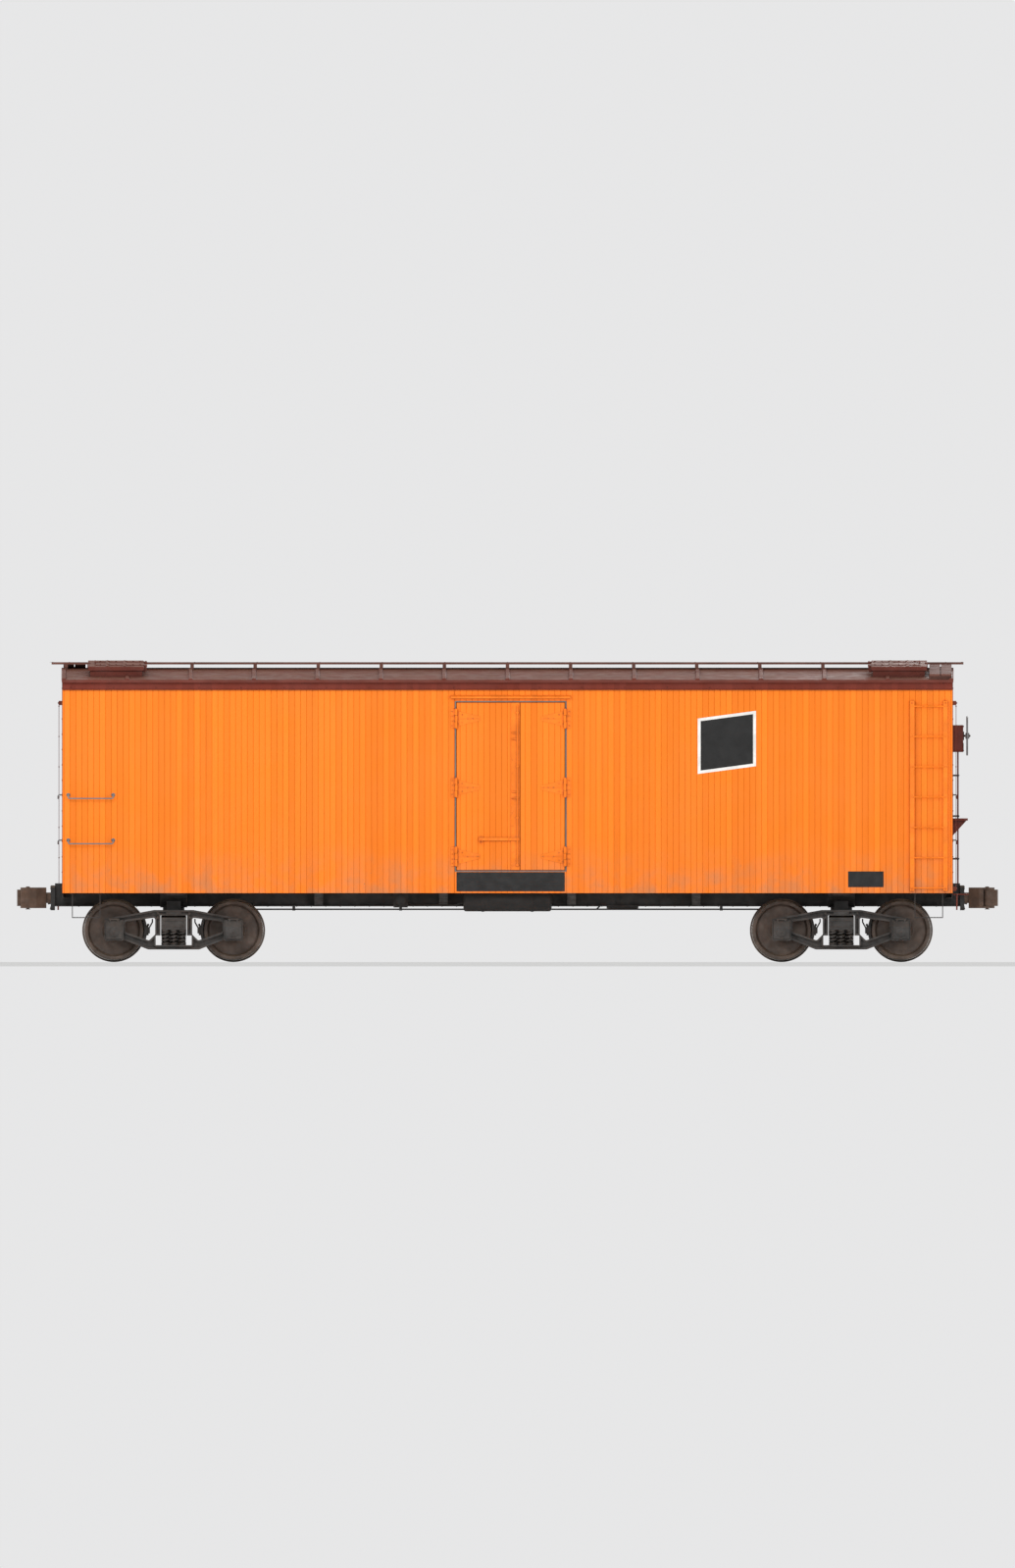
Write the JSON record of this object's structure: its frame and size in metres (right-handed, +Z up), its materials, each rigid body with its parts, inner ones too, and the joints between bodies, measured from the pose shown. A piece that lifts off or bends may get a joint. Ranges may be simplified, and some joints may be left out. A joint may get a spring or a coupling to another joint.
{
  "type": "ice refrigerator car",
  "caption": "Wooden-sided railway refrigerator car with ice bunkers, roof hatches, swinging side doors and two swivelling trucks.",
  "frame": {"origin": "midway along and across the car, level with the tips of the wheel flanges", "axes": "+X towards the hand brake end, +Z up, the right side at -Y"},
  "size_m": [13.7708, 3.023, 4.2306],
  "materials": {
    "orange_sheathing": "satin paint on tongue and groove boards",
    "orange_steel": "satin paint",
    "red_brown_sheathing": "matte paint on boards",
    "red_brown_steel": "matte paint",
    "roof_paint": "matte paint over sheet and boards",
    "roof_steel": "matte paint",
    "running_board_wood": "weathered paint",
    "floor_boards": "worn bare wood",
    "underframe_black": "dusty black paint",
    "threshold_black": "worn black paint",
    "grey_steel": "worn grey steel",
    "coupler_steel": "rusty casting",
    "truck_castings": "dusty black casting",
    "spring_steel": "dusty spring steel",
    "wheel_steel": "brown cast wheel, bright tread"
  },
  "bodies": {
    "car_body": {"center_sill": "underframe_black", "draft_gears": "underframe_black", "side_sills": "underframe_black", "end_sills": "underframe_black", "body_bolsters": "underframe_black", "crossbearers": "underframe_black", "floor": "floor_boards", "floor_racks": "floor_boards", "right_side_wall": "orange_sheathing", "left_side_wall": "orange_sheathing", "end_walls": "red_brown_sheathing", "bunker_bulkheads": "floor_boards", "fascia_boards": "red_brown_sheathing", "roof_middle": "roof_paint", "roof_a_end": "roof_paint", "roof_b_end": "roof_paint", "hatch_frames": "roof_steel", "running_boards": "running_board_wood", "door_hinge_butts": "orange_steel", "door_hoods": "orange_steel", "threshold_plates": "threshold_black", "ladders": "orange_steel", "grab_irons": "grey_steel", "sill_steps": "underframe_black", "hand_brake_housing": "red_brown_steel", "brake_step": "red_brown_steel", "air_brake_equipment": "underframe_black", "train_pipe": "underframe_black", "angle_cocks": "underframe_black", "brake_rods": "underframe_black", "uncoupling_levers": "red_brown_steel"},
    "right_wide_door": {"right_wide_door": "orange_sheathing", "right_wide_door_hardware": "orange_steel"},
    "right_narrow_door": {"right_narrow_door": "orange_sheathing", "right_narrow_door_hardware": "orange_steel"},
    "left_wide_door": {"left_wide_door": "orange_sheathing", "left_wide_door_hardware": "orange_steel"},
    "left_narrow_door": {"left_narrow_door": "orange_sheathing", "left_narrow_door_hardware": "orange_steel"},
    "hatch_cover_a_right": {"hatch_cover_a_right": "roof_steel"},
    "hatch_cover_a_left": {"hatch_cover_a_left": "roof_steel"},
    "hatch_cover_b_right": {"hatch_cover_b_right": "roof_steel"},
    "hatch_cover_b_left": {"hatch_cover_b_left": "roof_steel"},
    "hand_brake_wheel": {"hand_brake_wheel": "grey_steel"},
    "coupler_a": {"coupler_a": "coupler_steel"},
    "knuckle_a": {"knuckle_a": "coupler_steel"},
    "truck_a": {"truck_a_side_frames": "truck_castings", "truck_a_bolster": "truck_castings", "truck_a_springs": "spring_steel", "truck_a_brake_beams": "truck_castings"},
    "coupler_b": {"coupler_b": "coupler_steel"},
    "knuckle_b": {"knuckle_b": "coupler_steel"},
    "truck_b": {"truck_b_side_frames": "truck_castings", "truck_b_bolster": "truck_castings", "truck_b_springs": "spring_steel", "truck_b_brake_beams": "truck_castings"},
    "wheelset_1": {"wheelset_1": "wheel_steel"},
    "wheelset_2": {"wheelset_2": "wheel_steel"},
    "wheelset_3": {"wheelset_3": "wheel_steel"},
    "wheelset_4": {"wheelset_4": "wheel_steel"}
  },
  "joints": [
    {"name": "truck_a_swivel", "type": "hinge", "parent": "car_body", "child": "truck_a", "pos_m": [-4.6865, 0, 0.662], "axis": [0, 0, 1], "range_deg": [-7, 7]},
    {"name": "truck_b_swivel", "type": "hinge", "parent": "car_body", "child": "truck_b", "pos_m": [4.6865, 0, 0.662], "axis": [0, 0, 1], "range_deg": [-7, 7]},
    {"name": "wheelset_1_spin", "type": "hinge", "parent": "truck_a", "child": "wheelset_1", "pos_m": [-5.5245, 0, 0.445], "axis": [0, 1, 0], "continuous": true},
    {"name": "wheelset_2_spin", "type": "hinge", "parent": "truck_a", "child": "wheelset_2", "pos_m": [-3.8485, 0, 0.445], "axis": [0, 1, 0], "continuous": true},
    {"name": "wheelset_3_spin", "type": "hinge", "parent": "truck_b", "child": "wheelset_3", "pos_m": [3.8485, 0, 0.445], "axis": [0, 1, 0], "continuous": true},
    {"name": "wheelset_4_spin", "type": "hinge", "parent": "truck_b", "child": "wheelset_4", "pos_m": [5.5245, 0, 0.445], "axis": [0, 1, 0], "continuous": true},
    {"name": "right_wide_door_swing", "type": "hinge", "parent": "car_body", "child": "right_wide_door", "pos_m": [-0.7195, -1.469, 2.4675], "axis": [0, 0, -1], "range_deg": [0, 180]},
    {"name": "right_narrow_door_swing", "type": "hinge", "parent": "car_body", "child": "right_narrow_door", "pos_m": [0.8075, -1.469, 2.4675], "axis": [0, 0, 1], "range_deg": [0, 180]},
    {"name": "left_wide_door_swing", "type": "hinge", "parent": "car_body", "child": "left_wide_door", "pos_m": [0.7195, 1.469, 2.4675], "axis": [0, 0, -1], "range_deg": [0, 180]},
    {"name": "left_narrow_door_swing", "type": "hinge", "parent": "car_body", "child": "left_narrow_door", "pos_m": [-0.8075, 1.469, 2.4675], "axis": [0, 0, 1], "range_deg": [0, 180]},
    {"name": "hatch_cover_a_right_lift", "type": "hinge", "parent": "car_body", "child": "hatch_cover_a_right", "pos_m": [-5.0765, -0.79542, 4.18241], "axis": [0, 0.9937, 0.1118], "range_deg": [0, 170]},
    {"name": "hatch_cover_a_left_lift", "type": "hinge", "parent": "car_body", "child": "hatch_cover_a_left", "pos_m": [-5.0765, 0.79542, 4.18241], "axis": [0, 0.9937, -0.1118], "range_deg": [0, 170]},
    {"name": "hatch_cover_b_right_lift", "type": "hinge", "parent": "car_body", "child": "hatch_cover_b_right", "pos_m": [5.0765, -0.79542, 4.18241], "axis": [0, -0.9937, -0.1118], "range_deg": [0, 170]},
    {"name": "hatch_cover_b_left_lift", "type": "hinge", "parent": "car_body", "child": "hatch_cover_b_left", "pos_m": [5.0765, 0.79542, 4.18241], "axis": [0, -0.9937, 0.1118], "range_deg": [0, 170]},
    {"name": "hand_brake_wheel_turn", "type": "hinge", "parent": "car_body", "child": "hand_brake_wheel", "pos_m": [6.4535, -0.36, 3.176], "axis": [1, 0, 0], "continuous": true},
    {"name": "coupler_a_swing", "type": "hinge", "parent": "car_body", "child": "coupler_a", "pos_m": [-5.7935, 0, 0.902], "axis": [0, 0, 1], "range_deg": [-6, 6]},
    {"name": "knuckle_a_open", "type": "hinge", "parent": "coupler_a", "child": "knuckle_a", "pos_m": [-6.7335, 0.112, 0.902], "axis": [0, 0, -1], "range_deg": [0, 45]},
    {"name": "coupler_b_swing", "type": "hinge", "parent": "car_body", "child": "coupler_b", "pos_m": [5.7935, 0, 0.902], "axis": [0, 0, 1], "range_deg": [-6, 6]},
    {"name": "knuckle_b_open", "type": "hinge", "parent": "coupler_b", "child": "knuckle_b", "pos_m": [6.7335, -0.112, 0.902], "axis": [0, 0, -1], "range_deg": [0, 45]}
  ]
}
